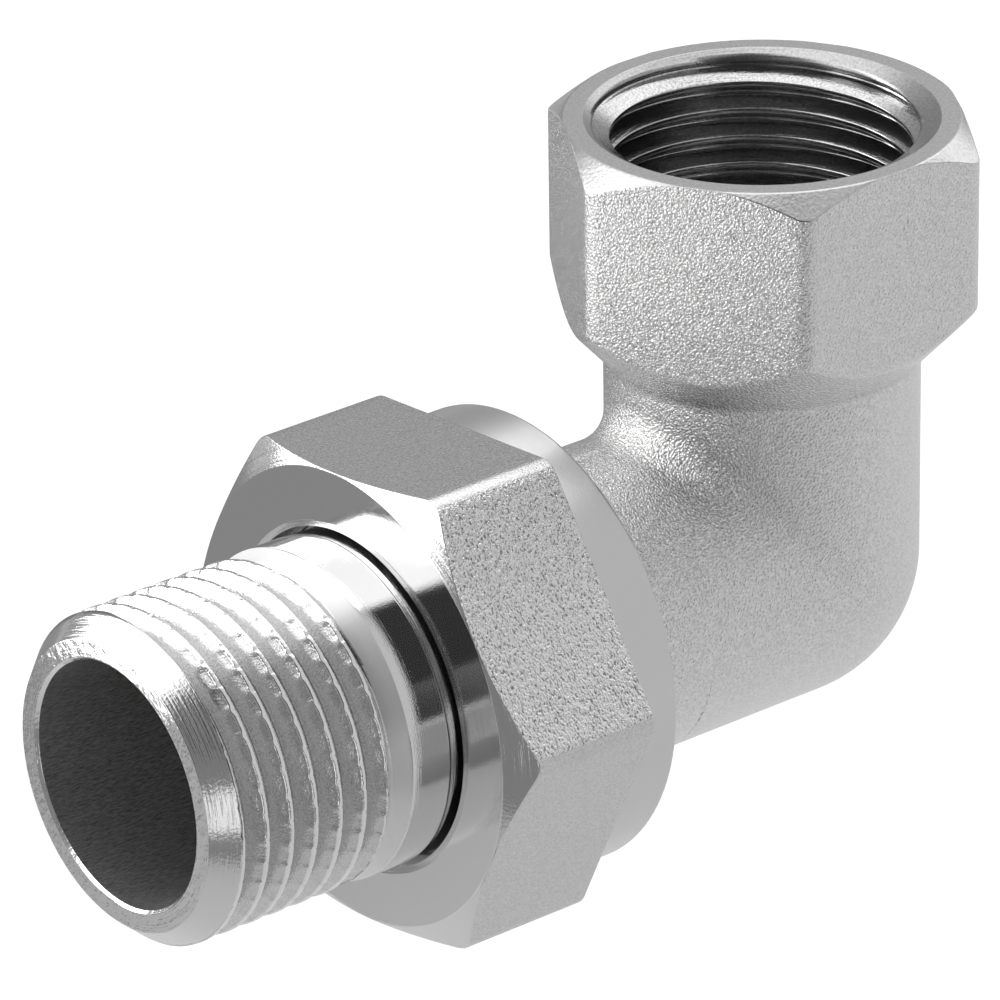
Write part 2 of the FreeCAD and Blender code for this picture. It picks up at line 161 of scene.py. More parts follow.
@dataclass(frozen=True)
class Look:
    """How a surface looks: nickel plate over brass, or with no metal in it the seal's rubber.

    Attributes:
        name: name of the material.
        tone: grey of the surface.
        roughness: how dull it is.
        grain: size of the grain in millimetres.
        relief: height of the grain in millimetres, or zero for none.
        shade: how much darker the grain's pits and lighter its tips are painted, as shade and glints, from 0
            to 1.
        span: heights of the grain, from 0 to 1, between which its tone changes.
        stretch: how much longer the grain is across the piece than along it.
        marks: width of the tool's rings in millimetres, or zero for none.
        mark_relief: height of the rings in millimetres.
        axis: axis that the tool's rings go round.
        metal: how much it mirrors, from 0 for none to 1.
    """

    name: str
    tone: float
    roughness: float
    grain: float = 0.0
    relief: float = 0.0
    shade: float = 0.0
    span: tuple[float, float] = (0.32, 0.62)
    stretch: float = 1.0
    marks: float = 0.0
    mark_relief: float = 0.0
    axis: Axis = Axis.TAIL
    metal: float = 1.0

    def make(self) -> bpy.types.Material:
        """Make the material.

        Returns:
            The material with its nodes.
        """
        material = bpy.data.materials.new(self.name)
        graph = Graph(material)
        place = graph.add("TexCoord", {}).outputs["Object"]
        surface: Inputs = {
            "Metallic": self.metal, "Base Color": grey(self.tone), "Roughness": self.roughness}
        if self.marks > 0.0:
            rings = self.add_noise(graph, self.add_rings(graph, place), self.marks, 1.0)
            bump = graph.add("Bump", {"Distance": self.mark_relief * MM, "Height": rings})
            surface["Normal"] = bump.outputs["Normal"]
        if self.relief > 0.0:
            squeeze = (1.0, 1.0 / self.stretch, 1.0 / self.stretch)
            squeezed = graph.add("Mapping", {"Vector": place, "Scale": squeeze}).outputs["Vector"]
            grain = self.add_noise(graph, squeezed, self.grain, 2.0)
            under: Inputs = {"Normal": surface["Normal"]} if self.marks > 0.0 else {}
            bump = graph.add("Bump", {"Distance": self.relief * MM, "Height": grain, **under})
            surface["Normal"] = bump.outputs["Normal"]
            # The grain's tone follows its height: the darker pits are painted shade and the lighter tips
            # painted glints.
            if self.shade > 0.0:
                surface["Base Color"] = graph.add("MapRange", {
                    "Value": grain,
                    "From Min": self.span[0],
                    "From Max": self.span[1],
                    "To Min": self.tone * (1.0 - self.shade),
                    "To Max": min(self.tone * (1.0 + TIP_SHARE * self.shade), LIGHTEST),
                }).outputs["Result"]
        graph.show(graph.add("BsdfPrincipled", surface).outputs["BSDF"])
        return material

    def add_noise(self, graph: Graph, place: Socket, size: float, detail: float) -> Socket:
        """Add a noise whose lumps are of a size in millimetres, with some finer layers."""
        noise = graph.add("TexNoise", {"Vector": place, "Scale": 1.0 / (size * MM), "Detail": detail})
        return noise.outputs["Fac"]

    def add_rings(self, graph: Graph, place: Socket) -> Socket:
        """Add the places of the fine rings that a turning tool leaves.

        Args:
            graph: the material's nodes.
            place: socket with the place on the piece.

        Returns:
            The socket with the place along, out from and slowly round the axis.
        """
        split = graph.add("SeparateXYZ", {"Vector": place}).outputs
        lifted = graph.add("Math", {0: split["Z"], 1: CENTRE_BELOW_PORT * MM}, operation="ADD")
        height = lifted.outputs["Value"]
        if self.axis is Axis.TAIL:
            along, first, second = split["X"], split["Y"], height
        else:
            along, first, second = height, split["X"], split["Y"]
        flat = graph.add("CombineXYZ", {"X": first, "Y": second}).outputs["Vector"]
        radius = graph.add("VectorMath", {0: flat}, operation="LENGTH").outputs["Value"]
        turn = graph.add("Math", {0: second, 1: first}, operation="ARCTAN2").outputs["Value"]
        pace = self.marks * MM * RING_PACE
        slow = graph.add("Math", {0: turn, 1: pace}, operation="MULTIPLY").outputs["Value"]
        return graph.add("CombineXYZ", {"X": along, "Y": radius, "Z": slow}).outputs["Vector"]


class Finish(Enum):
    """The surfaces of the fitting's pieces, and how each looks."""

    BLASTED = Look("blasted_plate", 0.73, 0.06, 0.15, 0.15, 0.18)
    FLATS = Look("nut_flats_plate", 0.62, 0.22, 0.14, 0.03, 0.16)
    # Its pits are relief; their dark tone is painted shade in the pits.
    SHADED_PITS = Look("shaded_pits_flat_plate", 0.62, 0.16, 0.15, 0.16, 0.55, span=(0.30, 0.44), stretch=1.4)
    TURNED = Look("turned_plate", 0.68, 0.16, 0.2, 0.012, marks=0.09, mark_relief=0.022)
    FACED = Look("faced_plate", 0.56, 0.30, 0.2, 0.02, 0.12, marks=0.12, mark_relief=0.004, axis=Axis.SOCKET)
    POLISHED = Look("polished_plate", 0.72, 0.07, 0.12, 0.003, marks=0.05, mark_relief=0.002)
    SKIRT = Look("skirt_plate", 0.66, 0.28, 0.15, 0.008)
    THREAD = Look("thread_plate", 0.62, 0.22, 0.12, 0.02, 0.15)
    CREST = Look("thread_crest_plate", 0.80, 0.16, 0.25, 0.03)
    BORE = Look("bored_plate", 0.66, 0.36, 0.5, 0.05, 0.35, stretch=0.15)
    TAPPED = Look(
        "tapped_thread_plate", 0.50, 0.17, 0.15, 0.01, 0.2, marks=0.10, mark_relief=0.010, axis=Axis.SOCKET)
    MOUTH = Look(
        "socket_mouth_plate", 0.42, 0.30, 0.15, 0.01, 0.2, marks=0.12, mark_relief=0.012, axis=Axis.SOCKET)
    ROUGH = Look("rough_end_plate", 0.74, 0.14, 0.5, 0.05, marks=0.10, mark_relief=0.012)
    # Pale and only partly metal, so the relief groove looks evenly bright whatever it faces: a painted sheen.
    RELIEF_SHEEN = Look("relief_painted_sheen_plate", 0.80, 0.30, 0.15, 0.004, marks=0.07, mark_relief=0.006, metal=0.4)
    RUBBER = Look("seal_rubber", 0.03, 0.6, metal=0.0)


Materials = dict[Finish, bpy.types.Material]


@dataclass
class Station:
    """One corner of a turned outline.

    Attributes:
        along: place along the axis in millimetres, one number or one for each column.
        radius: distance from the axis in millimetres, one number or one for each column.
        rounding: size of the round that breaks the corner.
        finish: finish of the surface from this corner to the next.
        fill: rows added between this corner and the next.
    """

    along: float | Array
    radius: float | Array
    rounding: float = 0.0
    finish: Finish = Finish.TURNED
    fill: int = 0


def round_corner(before: Array, corner: Array, after: Array, rounding: float) -> list[Array]:
    """Round one corner of an outline.

    Args:
        before: the corner before it, for each column.
        corner: the corner itself.
        after: the corner after it.
        rounding: size of the round.

    Returns:
        The rows that lead to the round, follow it and leave it.
    """
    length_in = np.linalg.norm(corner - before, axis=1, keepdims=True) + TINY
    length_out = np.linalg.norm(after - corner, axis=1, keepdims=True) + TINY
    way_in, way_out = (corner - before) / length_in, (after - corner) / length_out
    cut = np.minimum(rounding, ROUND_SHARE * np.minimum(length_in, length_out))
    start, end = corner - way_in * cut, corner + way_out * cut
    rows = [start - way_in * np.minimum(SUPPORT, SUPPORT_SHARE * length_in)]
    for step in range(ROUND_STEPS + 1):
        share = step / ROUND_STEPS
        rows.append((1 - share) ** 2 * start + 2 * share * (1 - share) * corner + share ** 2 * end)
    rows.append(end + way_out * np.minimum(SUPPORT, SUPPORT_SHARE * length_out))
    return rows


def bend_rows(stations: Sequence[Station], columns: int) -> tuple[Array, list[Finish]]:
    """Lay the rows of an outline and round its corners, column by column.

    Args:
        stations: the outline's corners in order.
        columns: how many columns the surface has.

    Returns:
        The rows as (rows, columns, 2) places and radii, and the finish of each strip between rows.
    """
    corners = np.zeros((len(stations), columns, 2))
    for index, station in enumerate(stations):
        corners[index, :, 0] = station.along
        corners[index, :, 1] = station.radius
    rows: list[Array] = [corners[0]]
    finishes: list[Finish] = []
    for index, station in enumerate(stations):
        last = index == len(stations) - 1
        before = stations[index - 1].finish
        if 0 < index and not last and station.rounding > 0.0:
            rows += round_corner(*corners[index - 1:index + 2], station.rounding)
            half = ROUND_STEPS // 2
            finishes += [before] * (half + 2) + [station.finish] * (half + 1)
        elif 0 < index:
            rows.append(corners[index])
            finishes.append(before)
        here = rows[-1]
        for step in range(1, station.fill + 1):
            share = step / (station.fill + 1) * FILL_SHARE
            rows.append(here + (corners[index + 1] - here) * share)
            finishes.append(station.finish)
    return np.array(rows), finishes


def even_angles(columns: int) -> Array:
    """Angles of columns that stand evenly round an axis, in radians."""
    return np.arange(columns) / columns * FULL_TURN


def around_tail(rows: Array, angles: Array) -> Array:
    """Turn rows of places and radii about the tail's axis into points."""
    along, radius = rows[..., 0], rows[..., 1]
    return np.stack([along, radius * np.cos(angles), radius * np.sin(angles)], axis=-1)


def around_socket(rows: Array, angles: Array) -> Array:
    """Turn rows of places and radii about the socket's axis into points."""
    along, radius = rows[..., 0], rows[..., 1]
    return np.stack([radius * np.cos(angles), radius * np.sin(angles), along], axis=-1)


@dataclass
class Skin:
    """Collects the surfaces of one piece and turns them into an object.

    Attributes:
        name: name of the piece that the skin becomes.
        body: body of the frame that the piece moves with.
        slot: the record's material slot; it is not used.
        node: node of the frame that the piece stands for.
        points: each surface's points, in millimetres from the elbow's centre.
        faces: the numbers of the points of each surface's faces.
        finishes: the numbers of the finishes of each surface's faces.
        slots: the finishes by number.
    """

    name: str
    body: str
    slot: str
    node: str
    points: list[Array] = field(default_factory=list)
    faces: list[Array] = field(default_factory=list)
    finishes: list[Array] = field(default_factory=list)
    slots: list[Finish] = field(default_factory=list)

    def slot_of(self, finish: Finish) -> int:
        """Number of the material slot for a finish, added if it is new."""
        if finish not in self.slots:
            self.slots.append(finish)
        return self.slots.index(finish)

    def add_grid(
        self,
        points: Array,
        finishes: Sequence[Finish] | Array,
        shift: int = 0,
        flip: bool = False,
    ) -> None:
        """Add a surface made of rows of points that close round an axis.

        Args:
            points: (rows, columns, 3) points in millimetres from the elbow's centre.
            finishes: finish of each strip between two rows, or of each face of each strip.
            shift: how many rows further on the last column meets the first, for a helix.
            flip: whether to turn the faces over.
        """
        rows, columns, _ = points.shape
        index = np.arange(rows * columns).reshape(rows, columns) + sum(map(len, self.points))
        wide = np.hstack([index, np.roll(index[:, :1], -shift, axis=0)])[:rows - shift]
        quads = np.stack([wide[:-1, :-1], wide[:-1, 1:], wide[1:, 1:], wide[1:, :-1]], axis=-1)
        if flip:
            quads = quads[..., ::-1]
        slots = np.array([[self.slot_of(finish) for finish in np.atleast_1d(strip)] for strip in finishes])
        slots = slots[:quads.shape[0]] * np.ones((1, quads.shape[1]), dtype=int)
        self.finishes.append(slots.ravel())
        self.faces.append(quads.reshape(-1, 4))
        self.points.append(points.reshape(-1, 3))

    def add_turned(
        self, around: Around, angles: Array, stations: Sequence[Station], flip: bool = False,
    ) -> None:
        """Add a turned surface.

        Args:
            around: turns the outline about its axis.
            angles: the columns' angles in radians.
            stations: the outline's corners in order.
            flip: whether to turn the faces over.
        """
        rows, finishes = bend_rows(stations, len(angles))
        self.add_grid(around(rows, angles), finishes, flip=flip)

    def finish(self, materials: Materials) -> None:
        """Join the surfaces into an object, without faces that have no area, and let it ride its body.

        Args:
            materials: the finishes' materials.
        """
        points = np.vstack(self.points)
        points[:, 2] -= CENTRE_BELOW_PORT
        points *= MM
        faces = np.vstack(self.faces)
        finishes = np.concatenate(self.finishes)
        spans = np.cross(points[faces[:, 2]] - points[faces[:, 0]], points[faces[:, 3]] - points[faces[:, 1]])
        kept = np.linalg.norm(spans, axis=1) > SLIVER
        used, faces = np.unique(faces[kept], return_inverse=True)
        faces = faces.reshape(-1, 4)
        points = points[used]
        mesh = bpy.data.meshes.new(self.name)
        mesh.from_pydata(points, [], faces, shade_flat=False)
        for finish in self.slots:
            mesh.materials.append(materials[finish])
        mesh.polygons.foreach_set("material_index", finishes[kept].astype(np.int32))
        mesh.validate()
        piece = bpy.data.objects.new(self.name, mesh)
        bpy.context.scene.collection.objects.link(piece)
        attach(piece, self.body)
        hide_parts(self.node)
        LOG.info("%s: %d points, %d faces", self.name, len(mesh.vertices), len(mesh.polygons))


@dataclass(frozen=True)
class Hexagon:
    """A hexagon with round corners.

    Attributes:
        flats: distance across the flats in millimetres.
        rounding: radius of the corners.
        turned: turn of its first corner, in degrees.
    """

    flats: float
    rounding: float
    turned: float = 0.0

    def columns(self, on_flat: int = 22, on_corner: int = 12) -> tuple[Array, Array]:
        """Place the columns of a surface so that they follow flats and corners.

        Args:
            on_flat: columns on each flat.
            on_corner: columns on each corner.

        Returns:
            The columns' angles in radians and the hexagon's radius at each.
        """
        half = math.pi / 6.0
        level = self.flats / 2.0
        reach = (level - self.rounding) / math.cos(half)
        edge = math.atan2(self.rounding * math.sin(half), reach + self.rounding * math.cos(half))
        half_flat = level * math.tan(half - edge)
        angles: list[float] = []
        radii: list[float] = []
        for corner in range(6):
            heading = 2.0 * half * corner
            for step in range(on_corner + 1):
                sweep = -half + 2.0 * half * step / on_corner
                across = reach + self.rounding * math.cos(sweep)
                aside = self.rounding * math.sin(sweep)
                angles.append(heading + math.atan2(aside, across))
                radii.append(math.hypot(across, aside))
            for step in range(1, on_flat):
                share = step / on_flat
                eased = 0.5 - 0.5 * math.cos(math.pi * share)
                share = EVEN_SHARE * share + (1.0 - EVEN_SHARE) * eased
                aside = -half_flat + 2.0 * half_flat * share
                angles.append(heading + half + math.atan2(aside, level))
                radii.append(math.hypot(aside, level))
        return np.array(angles) + math.radians(self.turned), np.array(radii)


@dataclass(frozen=True)
class Grip:
    """Scoops that a knurling wheel leaves along the front edge of a thread's crest.

    Attributes:
        count: scoops in one turn.
        cut: how far a scoop cuts back the crest's edge, in millimetres.
        dip: how deep a scoop cuts below the crest's edge, in millimetres.
        rib: share of the spacing that each rib between two scoops takes.
        nick: how deep each rib is nicked into the crest, in millimetres.
        ramp: share of the spacing over which a scoop deepens beside a rib.
        bow: share of a scoop's depth that only its middle has.
        places: places across the scoop in millimetres from the crest's front edge.
        back: share of the cut at a place on the crest and at each of the places.
        down: share of the dip at each of the places and at the next crest.
    """

    count: float
    cut: float
    dip: float
    rib: float
    nick: float = 0.06
    ramp: float = 0.12
    bow: float = 0.25
    places: tuple[float, ...] = (-0.08, 0.0, 0.09, 0.2)
    back: tuple[float, ...] = (0.0, 1.0, 0.8, 0.1, 0.0)
    down: tuple[float, ...] = (0.0, 0.45, 1.0, 0.0, 0.0)

    def press(self, place: Array, angle: Array, edge: float) -> tuple[Array, Array]:
        """How the scoops and nicks move a thread's surface.

        Args:
            place: place along one pitch, in millimetres from the crest's rear edge.
            angle: angle about the axis, counted on from turn to turn.
            edge: place of the crest's front edge.

        Returns:
            How far the surface moves back along the axis, and how far down, in millimetres.
        """
        share = (angle * self.count / FULL_TURN) % 1.0
        side = np.minimum(share, 1.0 - share)
        level = np.clip((side - self.rib) / self.ramp, 0.0, 1.0)
        scoop = np.sqrt(level) * (1.0 - self.bow + self.bow * np.sin(math.pi * share))
        nick = self.nick * np.clip(1.0 - side / self.rib, 0.0, 1.0)
        slope = [edge + offset for offset in self.places]
        back = np.interp(place, [edge * 0.4, *slope], self.back)
        down = np.interp(place, [*slope, PITCH], self.down)
        # The nicks cross the whole crest and fade out just past its front edge.
        on_top = np.interp(place, [0.0, 0.03, edge, edge + 0.05, PITCH], [0.3, 1.0, 1.0, 0.0, 0.0])
        return self.cut * back * scoop, self.dip * down * scoop + nick * on_top


@dataclass(frozen=True)
class Thread:
    """A right-handed screw thread with 55 degree flanks.

    Attributes:
        crest: radius of the crests in millimetres.
        inside: whether it is cut in a bore, where its depth goes outwards.
        phase: place along the axis of the crest's rear edge where the angle is zero.
        flank: finish of the flanks.
        top: finish of the crests.
        front_cut: finish of the chamfer at the thread's front end.
        rear_cut: finish of the surface that the thread's rear end runs out in.
        crest_width: width of the crest's flat.
        grip: scoops along the crest's front edge, if it has them.
    """

    crest: float
    inside: bool
    phase: float
    flank: Finish
    top: Finish
    front_cut: Finish
    rear_cut: Finish = Finish.TURNED
    crest_width: float = CREST_WIDTH
    grip: Grip | None = None

    def outline(self) -> tuple[Array, Array, Array]:
        """One turn's outline.

        Returns:
            The stations' places along one pitch, their depths below the crest, and 1 where the strip after
            a station is part of the crest.
        """
        run = THREAD_DEPTH * TAN_FLANK
        crest = self.crest_width
        root = PITCH - crest - 2.0 * run
        edge = CREST_EDGE[0][1]
        fall = THREAD_DEPTH - 2.0 * edge
        stations = [(place, depth, 1) for place, depth in CREST_EDGE]
        stations.append((crest * 0.5, 0.0, 1))
        stations += [(crest - place, depth, int(place > 0.0)) for place, depth in reversed(CREST_EDGE)]
        stations += [(crest + run * share, edge + fall * share, 0) for share in FLANK_DOWN]
        for share, rise in ((0.0, ROOT_ROUND), (0.5, 0.0), (1.0, ROOT_ROUND)):
            stations.append((crest + run + root * share, THREAD_DEPTH - rise, 0))
        stations += [(PITCH - run * share, edge + fall * share, 0) for share in FLANK_UP]
        table = np.array(stations)
        return table[:, 0], table[:, 1], table[:, 2].astype(int)

    def cut_in(
        self,
        skin: Skin,
        around: Around,
        span: tuple[float, float],
        columns: int,
        limit: Radius,
        land: Radius | None = None,
    ) -> None:
        """Cut the thread in a piece, in rows along its helix.

        Args:
            skin: the piece's skin.
            around: turns the rows about their axis.
            span: places where the thread begins and ends.
            columns: columns round the axis.
            limit: radius that the thread may not pass.
            land: least radius of an outside thread, where its grooves run out.
        """
        start, end = span
        places, depths, on_crest = self.outline()
        turn = len(places)
        first = math.floor((start - self.phase) / PITCH) - 1
        last = math.ceil((end - self.phase) / PITCH) + 1
        turns = last - first + 1
        angles = even_angles(columns)
        even = np.ones(columns)
        depth = np.tile(depths, turns)[:, None] * even
        place = np.tile(places, turns)[:, None] * even
        whole = np.repeat(np.arange(first, last + 1), turn)[:, None]
        along = self.phase + place + PITCH * (whole + angles / FULL_TURN)
        if self.grip is not None:
            back, down = self.grip.press(place, angles[None, :] + FULL_TURN * whole, self.crest_width)
            along = along - back
            depth = depth + down
        sign = 1.0 if self.inside else -1.0
        radius = self.crest + sign * depth
        held = np.clip(along, start, end)
        if land is not None:
            radius = np.maximum(radius, np.minimum(land(held), self.crest))
        self.pin_rows(held, radius, span, limit)
        bound = limit(held)
        clipped = (radius - bound) * sign <= TOUCH
        radius = np.where(clipped, bound, radius)
        cut = clipped[:-1] & clipped[1:]
        crest = np.tile(on_crest, turns)[:-1, None] * even > 0.5
        ends = np.where(held[:-1] > 0.5 * (start + end), 2, 3)
        kinds = np.where(cut, ends, np.where(crest, 1, 0))
        finishes = np.array([self.flank, self.top, self.front_cut, self.rear_cut], dtype=object)[kinds]
        points = around(np.stack([held, radius], axis=-1), angles)
        skin.add_grid(points, finishes, turn, flip=self.inside and around is around_tail)

    def pin_rows(self, place: Array, radius: Array, span: tuple[float, float], limit: Radius) -> None:
        """Move the row nearest to each crossing of a thread and its limit on to the crossing.

        Args:
            place: the rows' places, column by column, which are changed.
            radius: the rows' radii, which are changed.
            span: places where the thread begins and ends.
            limit: radius that the thread may not pass.
        """
        over = radius - limit(place)
        beyond = over < 0.0 if self.inside else over > 0.0
        for column in range(place.shape[1]):
            gap, along = over[:, column], place[:, column]
            for row in np.nonzero(beyond[:-1, column] != beyond[1:, column])[0]:
                share = gap[row] / (gap[row] - gap[row + 1])
                spot = along[row] + share * (along[row + 1] - along[row])
                if span[0] < spot < span[1]:
                    near = row if share < 0.5 else row + 1
                    along[near] = spot
                    radius[near, column] = float(limit(np.array([spot]))[0])


@dataclass
class Elbow:
    """The forged elbow with its socket, legs, spigot and seat.

    Attributes hold its sizes in millimetres from the elbow's centre, and slopes as rise over run.
    """

    tube: float = 9.84
    waterway: float = 7.6
    crotch: float = 2.2
    pivot: float = 12.4
    cone_foot: float = 13.4
    hex_foot: float = 17.8
    height: float = 28.9
    hexagon: Hexagon = Hexagon(24.36, 1.35)
    face_radius: float = 12.22
    face_drop: float = 1.3
    neck_round: float = 0.62
    mouth_radius: float = 10.95
    mouth_depth: float = 1.0
    mouth_rim: float = 0.2
    rim_inset: float = 0.03
    thread: Thread = Thread(9.316, True, 0.35, Finish.TAPPED, Finish.TAPPED, Finish.MOUTH)
    thread_length: float = 13.0
    thread_overlap: float = 0.1
    drill_depth: float = 1.0
    flare_start: float = 19.3
    spigot_start: float = 20.7
    spigot_end: float = 27.9
    spigot: Thread = Thread(13.10, False, 0.0, Finish.THREAD, Finish.CREST, Finish.TURNED)
    spigot_root: float = 11.98
    spigot_break: float = 0.4
    spigot_slope: float = 1.2
    spigot_step: float = 0.2
    spigot_land: float = 0.3
    spigot_overlap: float = 0.05
    seat_mouth: float = 11.0
    seat_foot: float = 22.01
    skin_rows: int = 121
    bore_rows: int = 41
    thread_columns: int = 216
    spigot_columns: int = 180

    def rounded_gap(self, points: Array, radius: float, rounding: float) -> Array:
        """Distance from the skin of two legs, a ball heel and a rounded crease.

        Args:
            points: (n, 3) points.
            radius: radius of both legs and of the heel.
            rounding: radius of the fillet along the crease, or zero for a sharp one.

        Returns:
            Signed distances, negative inside.
        """
        x, y, z = points[:, 0], points[:, 1], points[:, 2]
        up = np.sqrt(x * x + y * y + np.minimum(z, 0.0) ** 2)
        out = np.sqrt(np.minimum(x, 0.0) ** 2 + y * y + z * z)
        one, two = up - radius, out - radius
        gap = np.minimum(one, two)
        if rounding <= 0.0:
            return gap
        level = np.clip(y * y / np.maximum(up * out, TINY), -1.0, ALMOST_ONE)
        left, right = rounding - one, rounding - two
        inside = ((left - right * level) > 0.0) & ((right - left * level) > 0.0) & (x > 0.0) & (z > 0.0)
        square = np.maximum(left * left + right * right - 2.0 * left * right * level, 0.0)
        reach = np.sqrt(square / (1.0 - level * level))
        return np.where(inside, np.minimum(gap, rounding - reach), gap)

    def leg_rows(self, angles: Array, radius: float, rounding: float, count: int) -> Array:
        """Rows that fan round the crease from the neck to the other leg.

        Args:
            angles: angle of each column about the socket's axis.
            radius: radius of both legs.
            rounding: fillet along the crease.
            count: how many rows to lay.

        Returns:
            (rows, columns, 3) points.
        """
        aside = np.array([0.0, 1.0, 0.0])
        rows = []
        for heading in np.linspace(0.0, math.pi / 2.0, count):
            away = np.array([-math.cos(heading), 0.0, -math.sin(heading)])
            if heading <= math.pi / 4.0:
                middle = np.array([0.0, 0.0, self.pivot - self.pivot * math.tan(heading)])
            else:
                middle = np.array([self.pivot - self.pivot / math.tan(heading), 0.0, 0.0])
            aim = -np.cos(angles)[:, None] * away[None, :] + np.sin(angles)[:, None] * aside
            near, far = np.zeros(len(angles)), np.full(len(angles), LINE_REACH * radius)
            for _ in range(HALVINGS):
                half = 0.5 * (near + far)
                outside = self.rounded_gap(middle + aim * half[:, None], radius, rounding) > 0.0
                far = np.where(outside, half, far)
                near = np.where(outside, near, half)
            rows.append(middle + aim * (0.5 * (near + far))[:, None])
        return np.array(rows)

    def mouth_limit(self, place: Array) -> Array:
        """Radius of the mouth's chamfer at a place, and of the cone that carries it on inwards."""
        slope = (self.mouth_radius - self.thread.crest) / self.mouth_depth
        return self.thread.crest + slope * (place - self.height + self.mouth_depth)

    def spigot_limit(self, place: Array) -> Array:
        """Radius of the lead at each end of the spigot's thread."""
        front = self.spigot_root - self.spigot_break + (self.spigot_end - place) * self.spigot_slope
        rear = self.spigot_root + (place - self.spigot_start - self.spigot_step) * self.spigot_slope
        return np.minimum(front, np.maximum(rear, self.spigot_root - self.spigot_overlap))

    def build(self) -> Skin:
        """Build the elbow.

        Returns:
            Its skin.
        """
        skin = Skin("elbow_forging", "elbow", "plated_brass", "elbow_body")
        angles, hexagon = self.hexagon.columns()
        corner = float(hexagon.max())
        rim = np.minimum(self.face_radius, hexagon - self.rim_inset)
        start = self.height - self.mouth_rim
        top = self.height - (hexagon - rim) * self.face_drop / (corner - self.face_radius)
        cone = (self.hex_foot - self.cone_foot) / (corner - self.tube)
        foot = self.cone_foot + (hexagon - self.tube) * cone
        skin.add_turned(around_socket, angles, [
            Station(start, float(self.mouth_limit(start)), 0.0, Finish.MOUTH),
            Station(self.height, self.mouth_radius, 0.05, Finish.FACED),
            Station(self.height, rim, 0.10, Finish.FACED),
            Station(top, hexagon, 0.12, Finish.BLASTED, 4),
            Station(foot, hexagon, 0.30, Finish.BLASTED, 3),
            Station(self.cone_foot, self.tube, self.neck_round, Finish.BLASTED),
            Station(self.pivot, self.tube, 0.0, Finish.BLASTED),
        ])
        legs = self.leg_rows(angles, self.tube, self.crotch, self.skin_rows)
        skin.add_grid(legs, [Finish.BLASTED] * (self.skin_rows - 1))
        skin.add_turned(around_tail, math.pi - angles, [
            Station(self.pivot, self.tube, 0.0, Finish.BLASTED, 2),
            Station(self.flare_start, self.tube, 0.3, Finish.BLASTED),
            Station(self.spigot_start, self.spigot_root, 0.1),
            Station(self.spigot_start + self.spigot_land, self.spigot_root),
        ])
        self.cut_socket(skin, angles)
        self.cut_spigot(skin)
        return skin

    def cut_socket(self, skin: Skin, angles: Array) -> None:
        """Cut the socket's thread and the waterway below it.

        Args:
            skin: the elbow's skin.
            angles: angles of the skin's columns in radians.
        """
        bottom = self.height - self.mouth_depth - self.thread_length
        span = (bottom, self.height - self.mouth_rim)
        self.thread.cut_in(skin, around_socket, span, self.thread_columns, self.mouth_limit)
        skin.add_turned(around_socket, angles, [
            Station(bottom, self.thread.crest + THREAD_DEPTH + self.thread_overlap, 0.0, Finish.BORE),
            Station(bottom, self.thread.crest, 0.05, Finish.BORE),
            Station(bottom - self.drill_depth, self.waterway, 0.05, Finish.BORE),
            Station(self.pivot, self.waterway, 0.0, Finish.BORE),
        ], flip=True)
        bore = self.leg_rows(angles, self.waterway, 0.0, self.bore_rows)
        skin.add_grid(bore, [Finish.BORE] * (self.bore_rows - 1), flip=True)

    def cut_spigot(self, skin: Skin) -> None:
        """Cut the spigot's thread, its end face and the seat."""
        span = (self.spigot_start, self.spigot_end)
        self.spigot.cut_in(skin, around_tail, span, self.spigot_columns, self.spigot_limit)
        skin.add_turned(around_tail, even_angles(self.spigot_columns), [
            Station(self.spigot_end, self.spigot_root - self.spigot_break),
            Station(self.spigot_end, self.seat_mouth, 0.05),
            Station(self.seat_foot, self.waterway, 0.1, Finish.BORE),
            Station(self.pivot, self.waterway, 0.0, Finish.BORE),
        ])


